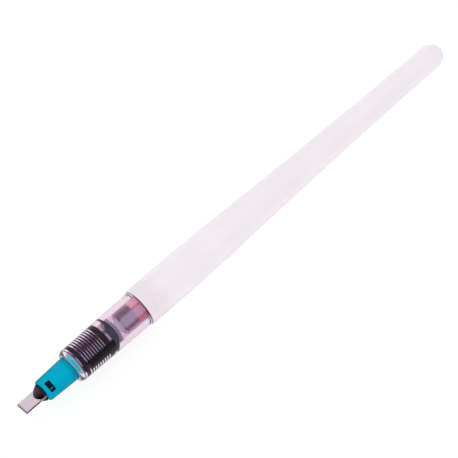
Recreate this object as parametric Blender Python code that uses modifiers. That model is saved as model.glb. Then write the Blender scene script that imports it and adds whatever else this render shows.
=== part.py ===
"""Cartridge pen with a parallel-plate nib, lying on its side with the nib at -X.

Every piece is modelled upright on the pen's own axis, local Z, where z is the distance
from the nib's tip. The empty "pen_axis" lays that axis along world X, just high enough
for the barrel's widest part to touch the ground plane. Local +Z becomes world +X,
local +Y stays world +Y, and world +Z is local -X. Metres, +Z up.
"""

import math

import bmesh
import bpy
from mathutils import Euler, Matrix, Vector

MM = 0.001
SEGMENTS = 28  # sides of a turned piece
BARREL_SEGMENTS = 20  # flats wide enough for the pen to lie still on one
FIT = 0.1 * MM  # gap between fixed pieces that meet
RUNNING = 0.2 * MM  # gap between pieces that slide
WELD = 0.001 * MM  # merge distance of a turned piece
UP = math.pi  # local angle of world +Z about the pen's axis

LENGTH = 177.0 * MM
BARREL_RADIUS = 6.4 * MM  # the widest part

# Nib: two flat plates with a slit between them and notches in their tips
PLATE_WIDTH = 4.3 * MM
PLATE_THICKNESS = 0.35 * MM
PLATE_SLIT = 0.1 * MM
PLATE_END = 14.5 * MM
NOTCHES = 5
NOTCH_PITCH = 0.78 * MM
NOTCH_WIDTH = 0.25 * MM
NOTCH_DEPTH = 0.35 * MM

# Clamp: two half domes, flat where the plates' edges show, on a round body in the collar
DOME_APEX = 5.15 * MM
DOME_END = 8.1 * MM
DOME_RADIUS = 2.9 * MM
DOME_FLAT = PLATE_WIDTH / 2 + 0.5 * FIT  # from the axis to the flat on each side
CLAMP_RADIUS = 2.15 * MM
CLAMP_END = 18.3 * MM
LATCH_ANGLE = math.radians(37.0)  # from the plates' normal, towards -Y on top

# Collar: oval at the nib, round at the section, with a spigot behind
COLLAR_START = DOME_END + 2 * FIT
COLLAR_HALF_WIDTH = 3.9 * MM
COLLAR_HALF_HEIGHT = 3.05 * MM
COLLAR_BEVEL = 0.2 * MM  # of the front edge, twice as long as it is deep
COLLAR_BORE = CLAMP_RADIUS + 0.2 * MM
COLLAR_ROUND = 19.4 * MM
COLLAR_RADIUS = 4.04 * MM
COLLAR_END = 20.9 * MM
WINDOW_START = 9.65 * MM
WINDOW_LENGTH = 1.55 * MM
WINDOW_WIDTH = 3.4 * MM
LATCH_TOP = 2.85 * MM

# Feed stem and finned ink collector
STEM_RADIUS = 0.9 * MM
STEM_START = PLATE_END + 3 * FIT
STEM_END = 40.0 * MM
CHANNEL_RADIUS = STEM_RADIUS + RUNNING
COLLECTOR_RADIUS = 4.08 * MM
COLLECTOR_CORE = 3.5 * MM
FRONT_RING = (21.05 * MM, 21.35 * MM)
FRONT_FLANGE = (21.8 * MM, 23.2 * MM)
FINS = 9
FIN_START = 23.72 * MM
FIN_PITCH = 0.919 * MM
FIN_THICKNESS = 0.46 * MM
REAR_FLANGE = (31.95 * MM, 32.95 * MM)
DISC_START = 33.87 * MM
DISC_END = 36.15 * MM
KEEL_ANGLE = math.radians(76.0)  # from the top, towards -Y
KEEL_WIDTH = 2.4 * MM
KEEL_TOP = 3.85 * MM

# Clear section with its threaded neck
SECTION_START = COLLAR_ROUND
SECTION_FRONT_RADIUS = 5.63 * MM
SECTION_REAR_RADIUS = 5.96 * MM
SECTION_SHOULDER = 47.15 * MM
LIP_RADIUS = 4.75 * MM
LIP_LENGTH = 1.7 * MM
FRONT_BORE = 4.25 * MM
STEP = 37.0 * MM
REAR_BORE = 4.05 * MM
NECK_RADIUS = 4.5 * MM
NECK_END = 53.5 * MM

# Right-handed thread between neck and barrel
THREAD_PITCH = 1.5 * MM
THREAD_WIDTH = 0.5 * MM
MALE_CREST = 5.0 * MM
MALE_START = 48.6 * MM
MALE_TURNS = 2.5
FEMALE_CREST = 4.75 * MM
FEMALE_ROOT = 5.25 * MM
FEMALE_TURNS = 1.5
THREAD_SEGMENTS = 24

# Nipple, cartridge and ink
NIPPLE_RADIUS = 1.6 * MM
NIPPLE_END = 44.0 * MM
CARTRIDGE_START = 38.85 * MM
CARTRIDGE_END = 96.0 * MM
CARTRIDGE_RADIUS = 3.85 * MM
CARTRIDGE_WALL = 0.5 * MM
MOUTH_LENGTH = 2.5 * MM
INK_START = 44.3 * MM
INK_END = 85.0 * MM
SEAL_START = 87.5 * MM
SEAL_RADIUS = 1.5 * MM
SEAL_THICKNESS = 0.8 * MM

# Barrel, with a seal ring in its mouth
RING_START = SECTION_SHOULDER + FIT
RING_END = RING_START + 0.6 * MM
RING_RADIUS = 5.6 * MM
BARREL_START = 47.6 * MM
MOUTH_RADIUS = 6.05 * MM  # recess round the seal ring, wider than the section
MOUTH_END = RING_END + FIT
BARREL_WALL = 1.15 * MM
BARREL_BORE = 4.6 * MM
BARREL_BORE_END = 173.4 * MM
TAIL_START = 172.0 * MM
TAIL_RADIUS = 3.97 * MM
BARREL_STATIONS = (  # distance from the tip and radius, in millimetres
    (BARREL_START / MM, BARREL_RADIUS / MM),
    (56.0, BARREL_RADIUS / MM),
    (66.0, 6.33),
    (82.0, 5.97),
    (101.6, 5.27),
    (125.0, 4.64),
    (145.0, 4.2),
    (160.0, 4.01),
    (TAIL_START / MM, TAIL_RADIUS / MM),
)
BARREL_RINGS = 16

TEAL = (0.0, 0.36, 0.50)
BLACK = (0.02, 0.012, 0.016)
CLEAR = (0.86, 0.80, 0.86)
STEEL = (0.72, 0.70, 0.72)
IVORY = (0.88, 0.84, 0.84)
GREY = (0.32, 0.28, 0.33)
INK_RED = (0.45, 0.05, 0.08)


def clear_scene():
    for obj in list(bpy.data.objects):
        bpy.data.objects.remove(obj, do_unlink=True)


def new_collection(name):
    collection = bpy.data.collections.new(name)
    bpy.context.scene.collection.children.link(collection)
    return collection


def make_material(name, colour, roughness, metallic=0.0, transmission=0.0):
    material = bpy.data.materials.new(name)
    material.use_nodes = True
    shader = material.node_tree.nodes["Principled BSDF"]
    shader.inputs["Base Color"].default_value = (*colour, 1.0)
    shader.inputs["Roughness"].default_value = roughness
    shader.inputs["Metallic"].default_value = metallic
    shader.inputs["Transmission Weight"].default_value = transmission
    return material


def add_object(name, data, collection, material=None):
    obj = bpy.data.objects.new(name, data)
    collection.objects.link(obj)
    if material:
        data.materials.append(material)
    return obj


def shade_smooth(obj):
    obj.data.shade_smooth()
    obj.data.set_sharp_from_angle(angle=math.radians(35.0))


def turned(name, profile, closed, collection, material=None, segments=SEGMENTS):
    """A solid of revolution about local Z. profile lists (radius, z) down its outer side."""
    mesh = bpy.data.meshes.new(name)
    edges = [(i, i + 1) for i in range(len(profile) - 1)]
    if closed:
        edges.append((len(profile) - 1, 0))
    mesh.from_pydata([(radius, 0.0, z) for radius, z in profile], edges, [])
    obj = add_object(name, mesh, collection, material)
    screw = obj.modifiers.new("turn", "SCREW")
    screw.steps = segments
    screw.render_steps = segments
    screw.use_merge_vertices = True
    screw.merge_threshold = WELD
    screw.use_smooth_shade = True
    return obj


def as_cutter(obj):
    obj.hide_render = True
    obj.display_type = "WIRE"
    return obj


def block(name, size, centre, angle, collection):
    """A box whose first side points away from the axis at this local angle."""
    mesh = bpy.data.meshes.new(name)
    bm = bmesh.new()
    bmesh.ops.create_cube(bm, size=1.0)
    bmesh.ops.scale(bm, vec=Vector(size), verts=bm.verts)
    bmesh.ops.translate(bm, vec=Vector(centre), verts=bm.verts)
    bmesh.ops.rotate(bm, matrix=Matrix.Rotation(angle, 3, "Z"), verts=bm.verts)
    bm.to_mesh(mesh)
    bm.free()
    return as_cutter(add_object(name, mesh, collection))


def combine(obj, other, operation):
    modifier = obj.modifiers.new(other.name, "BOOLEAN")
    modifier.object = other
    modifier.operation = operation
    modifier.solver = "EXACT"


def smooth_through(stations, z):
    """Radius at z on a smooth curve through the (z, radius) stations."""
    last = len(stations) - 2
    i = max(k for k in range(last + 1) if k == 0 or stations[k][0] <= z)
    (z0, r0), (z1, r1) = stations[i], stations[i + 1]

    def slope(k):
        low, high = max(k - 1, 0), min(k + 1, last + 1)
        return (stations[high][1] - stations[low][1]) / (stations[high][0] - stations[low][0])

    t = (z - z0) / (z1 - z0)
    step = z1 - z0
    start = (1 + 2 * t) * (1 - t) ** 2 * r0 + t * (1 - t) ** 2 * step * slope(i)
    end = t * t * (3 - 2 * t) * r1 + t * t * (t - 1) * step * slope(i + 1)
    return start + end


def barrel_radius(z):
    return smooth_through(BARREL_STATIONS, z / MM) * MM


def barrel_bore(z):
    return min(BARREL_BORE, barrel_radius(z) - BARREL_WALL)


def quarter_round(r0, z0, r1, z1, steps):
    """Points of a quarter ellipse that leaves (r0, z0) along z, without its two ends."""
    points = []
    for i in range(1, steps):
        a = math.pi / 2 * i / steps
        points.append((r1 + (r0 - r1) * math.cos(a), z0 + (z1 - z0) * math.sin(a)))
    return points


def helix_ridge(name, r_inner, r_outer, start, turns, collection):
    """A right-handed helical rib about local Z, as a cutter or a union's second solid."""
    mesh = bpy.data.meshes.new(name)
    bm = bmesh.new()
    corners = (
        (r_inner, start),
        (r_outer, start),
        (r_outer, start + THREAD_WIDTH),
        (r_inner, start + THREAD_WIDTH),
    )
    face = bm.faces.new([bm.verts.new((radius, 0.0, z)) for radius, z in corners])
    steps = round(THREAD_SEGMENTS * turns)
    bmesh.ops.spin(
        bm,
        geom=[face, *face.edges, *face.verts],
        cent=(0.0, 0.0, 0.0),
        axis=(0.0, 0.0, 1.0),
        dvec=(0.0, 0.0, THREAD_PITCH / THREAD_SEGMENTS),
        angle=2 * math.pi * turns,
        steps=steps,
        use_duplicate=False,
    )
    bmesh.ops.recalc_face_normals(bm, faces=bm.faces)
    bm.to_mesh(mesh)
    bm.free()
    return as_cutter(add_object(name, mesh, collection))


def nib_outline():
    """Outline of a plate: across its width, and from its notched tip back."""
    half = PLATE_WIDTH / 2
    points = [(-half, 0.0)]
    for i in range(NOTCHES):
        middle = (i - (NOTCHES - 1) / 2) * NOTCH_PITCH
        left = middle - NOTCH_WIDTH / 2
        right = middle + NOTCH_WIDTH / 2
        points += [(left, 0.0), (left, NOTCH_DEPTH), (right, NOTCH_DEPTH), (right, 0.0)]
    return [*points, (half, 0.0), (half, PLATE_END), (-half, PLATE_END)]


def nib_plate(name, side, collection, material):
    """side is -1 for the upper plate and 1 for the lower one."""
    curve = bpy.data.curves.new(name + "_outline", "CURVE")
    curve.dimensions = "2D"
    curve.fill_mode = "BOTH"
    curve.extrude = PLATE_THICKNESS / 2
    outline = nib_outline()
    spline = curve.splines.new("POLY")
    spline.points.add(len(outline) - 1)
    for point, (x, y) in zip(spline.points, outline):
        point.co = (x, y, 0.0, 1.0)
    spline.use_cyclic_u = True
    plate = add_object(name, curve, collection, material)
    plate.rotation_euler = Euler((math.pi / 2, 0.0, math.pi / 2))
    plate.location.x = side * (PLATE_SLIT + PLATE_THICKNESS) / 2
    return plate


def dome_profile():
    """From the clamp's rear down to the dome's apex."""
    points = [(0.0, CLAMP_END), (CLAMP_RADIUS, CLAMP_END), (CLAMP_RADIUS, DOME_END)]
    points.append((DOME_RADIUS, DOME_END))
    steps = 6
    for i in range(1, steps):
        a = math.pi / 2 * i / steps
        z = DOME_END - (DOME_END - DOME_APEX) * math.sin(a)
        points.append((DOME_RADIUS * math.cos(a), z))
    return [*points, (0.0, DOME_APEX)]


def nib_clamp(name, side, collection, cutters, material):
    """Half a dome with its body and latch. side is -1 on top and 1 below."""
    facing = UP if side < 0 else 0.0
    reach = 2 * BARREL_RADIUS
    clamp = turned(name, dome_profile(), False, collection, material)
    size = (reach, 2 * DOME_FLAT, LENGTH)
    combine(clamp, block(name + "_flats", size, (0.0, 0.0, 0.0), facing, cutters), "INTERSECT")
    size = (LATCH_TOP - CLAMP_RADIUS / 2, WINDOW_WIDTH - 2 * RUNNING, WINDOW_LENGTH - 2 * RUNNING)
    centre = ((LATCH_TOP + CLAMP_RADIUS / 2) / 2, 0.0, WINDOW_START + WINDOW_LENGTH / 2)
    latch = block(name + "_latch", size, centre, facing + LATCH_ANGLE, cutters)
    combine(clamp, latch, "UNION")
    seat = PLATE_THICKNESS + PLATE_SLIT / 2 + FIT  # from the axis to the face on the plate
    size = (reach, reach, LENGTH)
    centre = (seat - reach / 2, 0.0, 0.0)
    combine(clamp, block(name + "_half", size, centre, facing, cutters), "DIFFERENCE")
    profile = [
        (0.0, LENGTH),
        (STEM_RADIUS + FIT, LENGTH),
        (STEM_RADIUS + FIT, PLATE_END),
        (0.0, PLATE_END),
    ]
    channel = turned(name + "_channel", profile, False, cutters, segments=12)
    combine(clamp, as_cutter(channel), "DIFFERENCE")
    return clamp


def collar_section(z):
    """Half-height and half-width of the collar at z."""
    t = min((z - COLLAR_START) / (COLLAR_ROUND - COLLAR_START), 1.0)
    blend = t * (1.5 - 0.5 * t)
    height = COLLAR_HALF_HEIGHT + (COLLAR_RADIUS - COLLAR_HALF_HEIGHT) * blend
    width = COLLAR_HALF_WIDTH + (COLLAR_RADIUS - COLLAR_HALF_WIDTH) * t
    return height, width


def collar_body(name, collection, material):
    """A loft from the bevelled oval front to the round rear."""
    stations = [COLLAR_START, COLLAR_START + 2 * COLLAR_BEVEL]
    stations += [COLLAR_START + (COLLAR_ROUND - COLLAR_START) * i / 5 for i in range(1, 6)]
    stations.append(COLLAR_END)
    bm = bmesh.new()
    rings = []
    for index, z in enumerate(stations):
        height, width = collar_section(z)
        inset = COLLAR_BEVEL if index == 0 else 0.0
        ring = []
        for k in range(SEGMENTS):
            a = 2 * math.pi * k / SEGMENTS
            x = (height - inset) * math.cos(a)
            y = (width - inset) * math.sin(a)
            ring.append(bm.verts.new((x, y, z)))
        rings.append(ring)
    for low, high in zip(rings, rings[1:]):
        for k in range(SEGMENTS):
            after = (k + 1) % SEGMENTS
            bm.faces.new((low[k], low[after], high[after], high[k]))
    bm.faces.new(reversed(rings[0]))
    bm.faces.new(rings[-1])
    mesh = bpy.data.meshes.new(name)
    bm.to_mesh(mesh)
    bm.free()
    obj = add_object(name, mesh, collection, material)
    shade_smooth(obj)
    return obj


def nib_collar(collection, cutters, material):
    collar = collar_body("nib_collar", collection, material)
    bore_profile = [(0.0, LENGTH), (COLLAR_BORE, LENGTH), (COLLAR_BORE, 0.0), (0.0, 0.0)]
    bore = as_cutter(turned("collar_bore", bore_profile, False, cutters, segments=24))
    combine(collar, bore, "DIFFERENCE")
    depth = 4.0 * MM
    size = (depth, WINDOW_WIDTH, WINDOW_LENGTH)
    centre = (COLLAR_BORE - 0.5 * MM + depth / 2, 0.0, WINDOW_START + WINDOW_LENGTH / 2)
    for name, facing in (("window_top", UP), ("window_below", 0.0)):
        window = block(name, size, centre, facing + LATCH_ANGLE, cutters)
        combine(collar, window, "DIFFERENCE")
    return collar


def feed_stem(collection, material):
    nose = 0.3 * MM
    profile = [
        (0.0, STEM_END),
        (STEM_RADIUS - nose, STEM_END),
        (STEM_RADIUS, STEM_END - nose),
        (STEM_RADIUS, STEM_START),
        (0.0, STEM_START),
    ]
    return turned("feed_stem", profile, False, collection, material, segments=12)


def collector_profile():
    """From the rear disc down past the fins to the hub in the collar."""
    edge = 0.35 * MM
    points = [
        (CHANNEL_RADIUS, DISC_END),
        (COLLECTOR_RADIUS - 2 * edge, DISC_END),
        (COLLECTOR_RADIUS, DISC_END - 2 * edge),
        (COLLECTOR_RADIUS, DISC_START),
        (COLLECTOR_CORE, DISC_START),
    ]
    fins = [(FIN_START + i * FIN_PITCH, FIN_START + i * FIN_PITCH + FIN_THICKNESS) for i in range(FINS)]
    for front, rear in reversed([FRONT_FLANGE, *fins, REAR_FLANGE]):
        points += [
            (COLLECTOR_CORE, rear),
            (COLLECTOR_RADIUS, rear),
            (COLLECTOR_RADIUS, front),
            (COLLECTOR_CORE, front),
        ]
    hub = COLLAR_BORE - FIT
    return points + [
        (COLLECTOR_CORE, FRONT_RING[1]),
        (COLLECTOR_RADIUS, FRONT_RING[1]),
        (COLLECTOR_RADIUS, FRONT_RING[0]),
        (hub, FRONT_RING[0]),
        (hub, CLAMP_END + FIT),
        (CHANNEL_RADIUS, CLAMP_END + FIT),
    ]


def ink_collector(collection, cutters, material):
    """Fins and flanges on a hollow core, tied together by a flat-topped keel on one side."""
    collector = turned(
        "ink_collector", collector_profile(), True, collection, material, segments=24
    )
    length = DISC_START - FRONT_FLANGE[1] + 4 * FIT  # runs into the front flange and the disc
    depth = 1.2 * MM
    size = (depth, KEEL_WIDTH, length)
    centre = (KEEL_TOP - depth / 2, 0.0, (FRONT_FLANGE[1] + DISC_START) / 2)
    keel = block("keel", size, centre, UP + KEEL_ANGLE, cutters)
    combine(collector, keel, "UNION")
    return collector


def section_shell(collection, cutters, material):
    """Clear grip section: rounded lip, slight taper, shoulder and threaded neck."""
    edge = 0.2 * MM
    lip_end = SECTION_START + LIP_LENGTH
    profile = [
        (REAR_BORE, NECK_END),
        (NECK_RADIUS - edge, NECK_END),
        (NECK_RADIUS, NECK_END - edge),
        (NECK_RADIUS, SECTION_SHOULDER),
        (SECTION_REAR_RADIUS - edge, SECTION_SHOULDER),
        (SECTION_REAR_RADIUS, SECTION_SHOULDER - edge),
        (SECTION_FRONT_RADIUS, lip_end),
        *quarter_round(SECTION_FRONT_RADIUS, lip_end, LIP_RADIUS, SECTION_START, 4),
        (LIP_RADIUS, SECTION_START),
        (FRONT_BORE, SECTION_START),
        (FRONT_BORE, STEP),
        (REAR_BORE, STEP),
    ]
    shell = turned("section_shell", profile, True, collection, material)
    root = NECK_RADIUS - 0.2 * MM
    thread = helix_ridge("male_thread", root, MALE_CREST, MALE_START, MALE_TURNS, cutters)
    combine(shell, thread, "UNION")
    return shell


def cartridge_nipple(collection, material):
    tip = 0.25 * MM
    flange = FRONT_BORE - FIT
    front = DISC_END + FIT
    profile = [
        (CHANNEL_RADIUS, NIPPLE_END),
        (NIPPLE_RADIUS - tip, NIPPLE_END),
        (NIPPLE_RADIUS, NIPPLE_END - 3 * tip),
        (NIPPLE_RADIUS, STEP - FIT),
        (flange, STEP - FIT),
        (flange, front),
        (CHANNEL_RADIUS, front),
    ]
    return turned("cartridge_nipple", profile, True, collection, material, segments=20)


def cartridge_tube(collection, material):
    bore = CARTRIDGE_RADIUS - CARTRIDGE_WALL
    edge = 0.5 * MM
    rear = 1.2 * MM
    profile = [
        (0.0, CARTRIDGE_END),
        (CARTRIDGE_RADIUS - rear, CARTRIDGE_END),
        (CARTRIDGE_RADIUS, CARTRIDGE_END - rear),
        (CARTRIDGE_RADIUS, CARTRIDGE_START + edge),
        (CARTRIDGE_RADIUS - 0.4 * MM, CARTRIDGE_START),
        (bore, CARTRIDGE_START),
        (bore, CARTRIDGE_END - 2 * rear),
        (0.0, CARTRIDGE_END - rear),
    ]
    return turned("cartridge_tube", profile, False, collection, material, segments=24)


def ring(name, r_inner, r_outer, start, end, edge, collection, material):
    """A ring with its outer edges broken by edge."""
    profile = [
        (r_inner, end),
        (r_outer - edge, end),
        (r_outer, end - edge),
        (r_outer, start + edge),
        (r_outer - edge, start),
        (r_inner, start),
    ]
    return turned(name, profile, True, collection, material)


def disc(name, radius, start, end, collection, material):
    profile = [(0.0, end), (radius, end), (radius, start), (0.0, start)]
    return turned(name, profile, False, collection, material, segments=20)


def barrel_profile():
    edge = 0.1 * MM
    points = [(0.0, LENGTH)]
    points += reversed(quarter_round(TAIL_RADIUS, TAIL_START, 0.0, LENGTH, 5))
    straight = BARREL_STATIONS[1][0] * MM
    for i in range(BARREL_RINGS + 1):
        z = TAIL_START + (straight - TAIL_START) * i / BARREL_RINGS
        points.append((barrel_radius(z), z))
    points.append((BARREL_RADIUS, BARREL_START + edge))
    points.append((BARREL_RADIUS - edge, BARREL_START))
    points.append((MOUTH_RADIUS, BARREL_START))
    points.append((MOUTH_RADIUS, MOUTH_END))
    points.append((FEMALE_ROOT, MOUTH_END))
    points.append((FEMALE_ROOT, straight))
    bore_start = straight + 1.5 * MM
    for i in range(BARREL_RINGS // 2 + 1):
        z = bore_start + (BARREL_BORE_END - 3 * MM - bore_start) * i / (BARREL_RINGS // 2)
        points.append((barrel_bore(z), z))
    points.append((1.5 * MM, BARREL_BORE_END - 0.6 * MM))
    points.append((0.0, BARREL_BORE_END))
    return points


def barrel_shell(collection, cutters, material):
    barrel = turned(
        "barrel_shell", barrel_profile(), False, collection, material, segments=BARREL_SEGMENTS
    )
    start = MALE_START + THREAD_PITCH / 2
    root = FEMALE_ROOT + 0.3 * MM
    thread = helix_ridge("female_thread", FEMALE_CREST, root, start, FEMALE_TURNS, cutters)
    combine(barrel, thread, "UNION")
    return barrel


def lay_down(collections):
    """Parents every piece to the axis, which lies along world X."""
    axis = bpy.data.objects.new("pen_axis", None)
    bpy.context.scene.collection.objects.link(axis)
    axis.location = (-LENGTH / 2, 0.0, BARREL_RADIUS)
    axis.rotation_euler = Euler((0.0, math.pi / 2, 0.0))
    for collection in collections:
        for obj in collection.objects:
            obj.parent = axis


def build():
    clear_scene()
    pieces = new_collection("calligraphy_pen")
    cutters = new_collection("cutters")
    teal = make_material("collar_plastic", TEAL, 0.35)
    black = make_material("feed_plastic", BLACK, 0.4)
    clear = make_material("section_plastic", CLEAR, 0.05, transmission=1.0)
    steel = make_material("nib_steel", STEEL, 0.3, metallic=1.0)
    ivory = make_material("barrel_plastic", IVORY, 0.3)
    grey = make_material("cartridge_plastic", GREY, 0.4)
    rubber = make_material("seal_rubber", GREY, 0.6)
    red = make_material("ink", INK_RED, 0.1)

    nib_plate("nib_plate_upper", -1, pieces, steel)
    nib_plate("nib_plate_lower", 1, pieces, steel)
    nib_clamp("nib_clamp_upper", -1, pieces, cutters, black)
    nib_clamp("nib_clamp_lower", 1, pieces, cutters, black)
    nib_collar(pieces, cutters, teal)
    feed_stem(pieces, black)
    ink_collector(pieces, cutters, black)

    section_shell(pieces, cutters, clear)
    cartridge_nipple(pieces, clear)

    cartridge_tube(pieces, grey)
    bore = CARTRIDGE_RADIUS - CARTRIDGE_WALL
    mouth_start = CARTRIDGE_START + FIT
    ring(
        "cartridge_mouth_ring",
        NIPPLE_RADIUS + RUNNING,
        bore - FIT,
        mouth_start,
        mouth_start + MOUTH_LENGTH,
        0.2 * MM,
        pieces,
        grey,
    )
    disc("ink_charge", bore - FIT, INK_START, INK_END, pieces, red)
    disc(
        "cartridge_seal_disc", SEAL_RADIUS, SEAL_START, SEAL_START + SEAL_THICKNESS, pieces, grey
    )
    ring(
        "barrel_seal_ring",
        NECK_RADIUS + FIT,
        RING_RADIUS,
        RING_START,
        RING_END,
        0.15 * MM,
        pieces,
        rubber,
    )
    barrel = barrel_shell(pieces, cutters, ivory)
    lay_down((pieces, cutters))
    barrel.rotation_euler.z = math.pi / BARREL_SEGMENTS  # a flat side of the barrel faces down


build()
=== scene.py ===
"""The looks of a cartridge-fed calligraphy pen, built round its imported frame.

The pen lies along world X with its nib at -X. Every piece is turned, lofted or cut about
the pen's own axis. at(z, r, turn) gives a point z millimetres from the nib's tip, r from
the axis and turned from straight up towards -Y.
"""

import math

import bmesh
import bpy
from mathutils import Matrix, Vector


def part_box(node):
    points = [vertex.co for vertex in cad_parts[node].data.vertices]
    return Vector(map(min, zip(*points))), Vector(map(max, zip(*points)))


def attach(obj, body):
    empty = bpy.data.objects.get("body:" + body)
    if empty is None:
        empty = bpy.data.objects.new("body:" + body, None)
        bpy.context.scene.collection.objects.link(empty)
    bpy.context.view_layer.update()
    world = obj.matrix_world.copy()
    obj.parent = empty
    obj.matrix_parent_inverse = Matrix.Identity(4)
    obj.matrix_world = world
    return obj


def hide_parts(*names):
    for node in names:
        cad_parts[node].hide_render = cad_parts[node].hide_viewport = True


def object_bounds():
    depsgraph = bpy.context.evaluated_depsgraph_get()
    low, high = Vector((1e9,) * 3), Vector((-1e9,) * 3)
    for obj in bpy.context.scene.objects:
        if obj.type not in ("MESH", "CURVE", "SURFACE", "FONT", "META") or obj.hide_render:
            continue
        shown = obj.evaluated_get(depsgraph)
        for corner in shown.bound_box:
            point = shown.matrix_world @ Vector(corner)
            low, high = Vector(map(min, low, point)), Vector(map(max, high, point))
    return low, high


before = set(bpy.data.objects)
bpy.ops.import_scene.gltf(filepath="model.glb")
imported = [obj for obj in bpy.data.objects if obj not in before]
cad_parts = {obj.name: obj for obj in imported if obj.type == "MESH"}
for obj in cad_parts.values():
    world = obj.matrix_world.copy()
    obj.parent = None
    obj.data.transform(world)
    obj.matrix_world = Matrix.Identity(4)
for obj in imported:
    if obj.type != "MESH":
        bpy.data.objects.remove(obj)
cad_box = [list(corner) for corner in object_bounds()]

MM = 0.001
STEPS = 128  # sides of a turned piece
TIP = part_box("nib_plate_upper")[0].x
AXIS_Z = (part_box("section_shell")[0].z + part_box("section_shell")[1].z) / 2
SMOOTH_ANGLE = math.radians(32.0)

# Camera
TILT = math.radians(17.8)  # nib end towards the camera
ROLL = math.radians(32.0)  # the plates' normal leans this far from the camera
PICTURE_ANGLE = math.radians(40.8)  # of the pen in the picture
DISTANCE = 0.9
LENS = 232.1
AIM = 85.48  # mm from the tip
AIM_ACROSS = -0.27  # mm in the picture, to the right
AIM_UP = 0.31


# ---------------------------------------------------------------- shapes


def at(z, r=0.0, turn=0.0):
    """A point of the pen in metres, from millimetres and radians."""
    return Vector((TIP + z * MM, -r * MM * math.sin(turn), AXIS_Z + r * MM * math.cos(turn)))


def offset(z, across, out, turn=0.0):
    """As at(), for a point `out` along the direction `turn` and `across` square to it."""
    y = -out * math.sin(turn) + across * math.cos(turn)
    up = out * math.cos(turn) + across * math.sin(turn)
    return Vector((TIP + z * MM, y * MM, AXIS_Z + up * MM))


def new_object(name, bm, materials):
    bmesh.ops.recalc_face_normals(bm, faces=bm.faces)
    mesh = bpy.data.meshes.new(name)
    bm.to_mesh(mesh)
    bm.free()
    for material in materials:
        mesh.materials.append(material)
    obj = bpy.data.objects.new(name, mesh)
    bpy.context.scene.collection.objects.link(obj)
    mesh.shade_smooth()
    mesh.set_sharp_from_angle(angle=SMOOTH_ANGLE)
    return obj


def lathe_mesh(profile, closed=False, steps=STEPS, slots=None):
    """Turns (z, r) points about the axis. slots gives a material number for each band."""
    bm = bmesh.new()
    rings = []
    for z, r in profile:
        if r <= 0:
            rings.append([bm.verts.new(at(z))] * steps)
            continue
        rings.append([bm.verts.new(at(z, r, 2 * math.pi * k / steps)) for k in range(steps)])
    pairs = list(zip(rings, rings[1:]))
    if closed:
        pairs.append((rings[-1], rings[0]))
    for band, (low, high) in enumerate(pairs):
        for k in range(steps):
            after = (k + 1) % steps
            corners = []
            for vert in (low[k], low[after], high[after], high[k]):
                if vert not in corners:
                    corners.append(vert)
            if len(corners) < 3:
                continue
            face = bm.faces.new(corners)
            face.material_index = slots[band] if slots else 0
    return bm


def lathe(name, profile, materials, closed=False, steps=STEPS, slots=None):
    return new_object(name, lathe_mesh(profile, closed, steps, slots), materials)


def arc(z0, r0, z1, r1, steps, along_first=True):
    """A quarter ellipse from one point to the other, with both ends."""
    points = []
    for i in range(steps + 1):
        a = math.pi / 2 * i / steps
        if along_first:
            points.append((z0 + (z1 - z0) * math.sin(a), r1 + (r0 - r1) * math.cos(a)))
        else:
            points.append((z1 + (z0 - z1) * math.cos(a), r0 + (r1 - r0) * math.sin(a)))
    return points


def smooth_through(stations, z):
    """Radius at z on a smooth curve through the (z, radius) stations."""
    last = len(stations) - 2
    i = max(k for k in range(last + 1) if k == 0 or stations[k][0] <= z)
    (z0, r0), (z1, r1) = stations[i], stations[i + 1]

    def slope(k):
        low, high = max(k - 1, 0), min(k + 1, last + 1)
        return (stations[high][1] - stations[low][1]) / (stations[high][0] - stations[low][0])

    t, step = (z - z0) / (z1 - z0), z1 - z0
    start = (1 + 2 * t) * (1 - t) ** 2 * r0 + t * (1 - t) ** 2 * step * slope(i)
    return start + t * t * (3 - 2 * t) * r1 + t * t * (t - 1) * step * slope(i + 1)


def box_mesh(place, size, turn, bevel):
    """A bevelled box. place is its middle and size its lengths, as (z, across, out)."""
    bm = bmesh.new()
    bmesh.ops.create_cube(bm, size=1.0)
    for vert in bm.verts:
        z, across, out = (
            middle + length * side for middle, length, side in zip(place, size, vert.co.zyx)
        )
        vert.co = offset(z, across, out, turn)
    bmesh.ops.bevel(
        bm, geom=bm.edges[:], offset=bevel * MM, segments=3, profile=0.5, affect="EDGES"
    )
    return bm


def block_mesh(outline, low, high, turn=0.0):
    """A block between two copies of a (z, across) outline, low and high along the turn."""
    bm = bmesh.new()
    below = [bm.verts.new(offset(z, across, low, turn)) for z, across in outline]
    above = [bm.verts.new(offset(z, across, high, turn)) for z, across in outline]
    bm.faces.new(below)
    bm.faces.new(above)
    for k in range(len(outline)):
        after = (k + 1) % len(outline)
        bm.faces.new((below[k], below[after], above[after], above[k]))
    return bm


def skin(bm, rings, looped=False):
    """Faces between neighbouring rings, with both end rings filled unless looped."""
    pairs = list(zip(rings, rings[1:]))
    if looped:
        pairs.append((rings[-1], rings[0]))
    size = len(rings[0])
    for low, high in pairs:
        for k in range(size):
            after = (k + 1) % size
            bm.faces.new((low[k], low[after], high[after], high[k]))
    if not looped:
        bm.faces.new(rings[0])
        bm.faces.new(rings[-1])


def round_edges(obj, width):
    bevel = obj.modifiers.new("edge", "BEVEL")
    bevel.width = width * MM
    bevel.segments = 2
    bevel.limit_method = "ANGLE"
    bevel.angle_limit = math.radians(35)


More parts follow.
